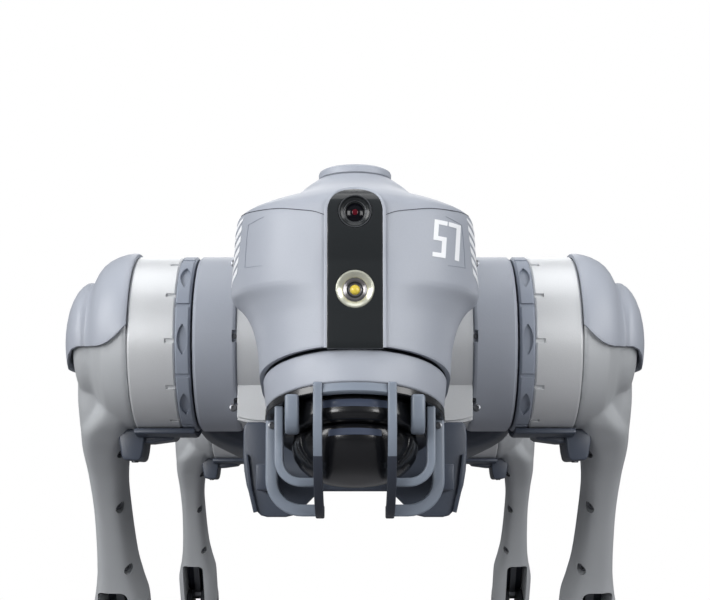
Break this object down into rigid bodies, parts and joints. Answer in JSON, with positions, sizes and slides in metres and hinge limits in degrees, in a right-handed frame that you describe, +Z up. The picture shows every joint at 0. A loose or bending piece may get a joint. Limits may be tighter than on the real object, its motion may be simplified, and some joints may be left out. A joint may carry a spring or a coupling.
{
  "type": "quadruped robot",
  "caption": "Four-legged walking robot with hollow thighs that hide the knee push rods, a spinning range scanner under its head and a side-loading battery.",
  "frame": {"origin": "on the ground under the centre of the standing robot's bounding box", "axes": "+X forward, +Y to the robot's left, +Z up"},
  "size_m": [0.6692, 0.3296, 0.448],
  "materials": {
    "shell_grey": "satin blue-grey moulded shell",
    "silver_casting": "fine blasted silver casting",
    "slate_trim": "dark slate moulded plastic",
    "machined_metal": "machined grey metal",
    "gloss_black": "polished black",
    "scanner_black": "smooth black infrared window",
    "lamp": "bright reflector cup",
    "leg_black": "black fibre-filled plastic",
    "foot_rubber": "soft black rubber"
  },
  "bodies": {
    "trunk": {"chassis": "machined_metal", "hip_motors": "machined_metal", "top_shell": "shell_grey", "belly_pan": "shell_grey", "rear_cap": "shell_grey", "head_shell": "shell_grey", "antenna_cap": "shell_grey", "face_panel": "gloss_black", "camera_lens": "gloss_black", "headlamp": "lamp", "lidar_collar": "shell_grey", "lidar_base": "scanner_black", "lidar_guard": "slate_trim"},
    "battery_pack": {"battery": "slate_trim"},
    "power_button": {"power_button": "shell_grey"},
    "scanner_rotor": {"lidar_rotor": "scanner_black"},
    "fl_hip": {"fl_hip_bracket": "silver_casting", "fl_hip_cover": "shell_grey"},
    "fl_thigh": {"fl_thigh": "silver_casting", "fl_thigh_cap": "shell_grey", "fl_knee_motor": "silver_casting", "fl_shoulder_ring": "shell_grey", "fl_cable_guard": "slate_trim"},
    "fl_shank": {"fl_shank": "leg_black", "fl_foot": "foot_rubber"},
    "fl_crank": {"fl_knee_crank": "machined_metal"},
    "fl_rod": {"fl_push_rod": "machined_metal"},
    "fr_hip": {"fr_hip_bracket": "silver_casting", "fr_hip_cover": "shell_grey"},
    "fr_thigh": {"fr_thigh": "silver_casting", "fr_thigh_cap": "shell_grey", "fr_knee_motor": "silver_casting", "fr_shoulder_ring": "shell_grey", "fr_cable_guard": "slate_trim"},
    "fr_shank": {"fr_shank": "leg_black", "fr_foot": "foot_rubber"},
    "fr_crank": {"fr_knee_crank": "machined_metal"},
    "fr_rod": {"fr_push_rod": "machined_metal"},
    "rl_hip": {"rl_hip_bracket": "silver_casting", "rl_hip_cover": "shell_grey"},
    "rl_thigh": {"rl_thigh": "silver_casting", "rl_thigh_cap": "shell_grey", "rl_knee_motor": "silver_casting", "rl_shoulder_ring": "shell_grey", "rl_cable_guard": "slate_trim"},
    "rl_shank": {"rl_shank": "leg_black", "rl_foot": "foot_rubber"},
    "rl_crank": {"rl_knee_crank": "machined_metal"},
    "rl_rod": {"rl_push_rod": "machined_metal"},
    "rr_hip": {"rr_hip_bracket": "silver_casting", "rr_hip_cover": "shell_grey"},
    "rr_thigh": {"rr_thigh": "silver_casting", "rr_thigh_cap": "shell_grey", "rr_knee_motor": "silver_casting", "rr_shoulder_ring": "shell_grey", "rr_cable_guard": "slate_trim"},
    "rr_shank": {"rr_shank": "leg_black", "rr_foot": "foot_rubber"},
    "rr_crank": {"rr_knee_crank": "machined_metal"},
    "rr_rod": {"rr_push_rod": "machined_metal"}
  },
  "joints": [
    {"name": "fl_abduction", "type": "hinge", "parent": "trunk", "child": "fl_hip", "pos_m": [0.1934, 0.0465, 0.37096], "axis": [1, 0, 0], "range_deg": [-35, 48]},
    {"name": "fl_thigh_swing", "type": "hinge", "parent": "fl_hip", "child": "fl_thigh", "pos_m": [0.1934, 0.1428, 0.37096], "axis": [0, 1, 0], "range_deg": [-125, 67]},
    {"name": "fl_knee", "type": "hinge", "parent": "fl_thigh", "child": "fl_shank", "pos_m": [0.07123, 0.1428, 0.19648], "axis": [0, 1, 0], "range_deg": [-86, 22]},
    {"name": "fl_crank_turn", "type": "hinge", "parent": "fl_thigh", "child": "fl_crank", "pos_m": [0.1934, 0.1428, 0.37096], "axis": [0, 1, 0], "range_deg": [-86, 22]},
    {"name": "fl_rod_pivot", "type": "hinge", "parent": "fl_crank", "child": "fl_rod", "pos_m": [0.19111, 0.1428, 0.38172], "axis": [0, 1, 0], "range_deg": [-22, 86]},
    {"name": "fr_abduction", "type": "hinge", "parent": "trunk", "child": "fr_hip", "pos_m": [0.1934, -0.0465, 0.37096], "axis": [1, 0, 0], "range_deg": [-48, 35]},
    {"name": "fr_thigh_swing", "type": "hinge", "parent": "fr_hip", "child": "fr_thigh", "pos_m": [0.1934, -0.1428, 0.37096], "axis": [0, 1, 0], "range_deg": [-125, 67]},
    {"name": "fr_knee", "type": "hinge", "parent": "fr_thigh", "child": "fr_shank", "pos_m": [0.07123, -0.1428, 0.19648], "axis": [0, 1, 0], "range_deg": [-86, 22]},
    {"name": "fr_crank_turn", "type": "hinge", "parent": "fr_thigh", "child": "fr_crank", "pos_m": [0.1934, -0.1428, 0.37096], "axis": [0, 1, 0], "range_deg": [-86, 22]},
    {"name": "fr_rod_pivot", "type": "hinge", "parent": "fr_crank", "child": "fr_rod", "pos_m": [0.19111, -0.1428, 0.38172], "axis": [0, 1, 0], "range_deg": [-22, 86]},
    {"name": "rl_abduction", "type": "hinge", "parent": "trunk", "child": "rl_hip", "pos_m": [-0.1934, 0.0465, 0.37096], "axis": [1, 0, 0], "range_deg": [-35, 48]},
    {"name": "rl_thigh_swing", "type": "hinge", "parent": "rl_hip", "child": "rl_thigh", "pos_m": [-0.1934, 0.1428, 0.37096], "axis": [0, 1, 0], "range_deg": [-45, 165]},
    {"name": "rl_knee", "type": "hinge", "parent": "rl_thigh", "child": "rl_shank", "pos_m": [-0.31557, 0.1428, 0.19648], "axis": [0, 1, 0], "range_deg": [-86, 22]},
    {"name": "rl_crank_turn", "type": "hinge", "parent": "rl_thigh", "child": "rl_crank", "pos_m": [-0.1934, 0.1428, 0.37096], "axis": [0, 1, 0], "range_deg": [-86, 22]},
    {"name": "rl_rod_pivot", "type": "hinge", "parent": "rl_crank", "child": "rl_rod", "pos_m": [-0.19569, 0.1428, 0.38172], "axis": [0, 1, 0], "range_deg": [-22, 86]},
    {"name": "rr_abduction", "type": "hinge", "parent": "trunk", "child": "rr_hip", "pos_m": [-0.1934, -0.0465, 0.37096], "axis": [1, 0, 0], "range_deg": [-48, 35]},
    {"name": "rr_thigh_swing", "type": "hinge", "parent": "rr_hip", "child": "rr_thigh", "pos_m": [-0.1934, -0.1428, 0.37096], "axis": [0, 1, 0], "range_deg": [-45, 165]},
    {"name": "rr_knee", "type": "hinge", "parent": "rr_thigh", "child": "rr_shank", "pos_m": [-0.31557, -0.1428, 0.19648], "axis": [0, 1, 0], "range_deg": [-86, 22]},
    {"name": "rr_crank_turn", "type": "hinge", "parent": "rr_thigh", "child": "rr_crank", "pos_m": [-0.1934, -0.1428, 0.37096], "axis": [0, 1, 0], "range_deg": [-86, 22]},
    {"name": "rr_rod_pivot", "type": "hinge", "parent": "rr_crank", "child": "rr_rod", "pos_m": [-0.19569, -0.1428, 0.38172], "axis": [0, 1, 0], "range_deg": [-22, 86]},
    {"name": "scanner_spin", "type": "hinge", "parent": "trunk", "child": "scanner_rotor", "pos_m": [0.29, 0, 0.33376], "axis": [0.2588, 0, -0.9659], "continuous": true},
    {"name": "battery_slide", "type": "slide", "parent": "trunk", "child": "battery_pack", "axis": [0, 1, 0], "range_m": [0, 0.19]},
    {"name": "power_press", "type": "slide", "parent": "battery_pack", "child": "power_button", "axis": [0, -1, 0], "range_m": [0, 0.001], "stiffness_N_per_m": 900}
  ],
  "couplings": [
    {"joint": "fl_crank_turn", "follows": "fl_knee", "ratio": 1},
    {"joint": "fl_rod_pivot", "follows": "fl_knee", "ratio": -1},
    {"joint": "fr_crank_turn", "follows": "fr_knee", "ratio": 1},
    {"joint": "fr_rod_pivot", "follows": "fr_knee", "ratio": -1},
    {"joint": "rl_crank_turn", "follows": "rl_knee", "ratio": 1},
    {"joint": "rl_rod_pivot", "follows": "rl_knee", "ratio": -1},
    {"joint": "rr_crank_turn", "follows": "rr_knee", "ratio": 1},
    {"joint": "rr_rod_pivot", "follows": "rr_knee", "ratio": -1}
  ]
}
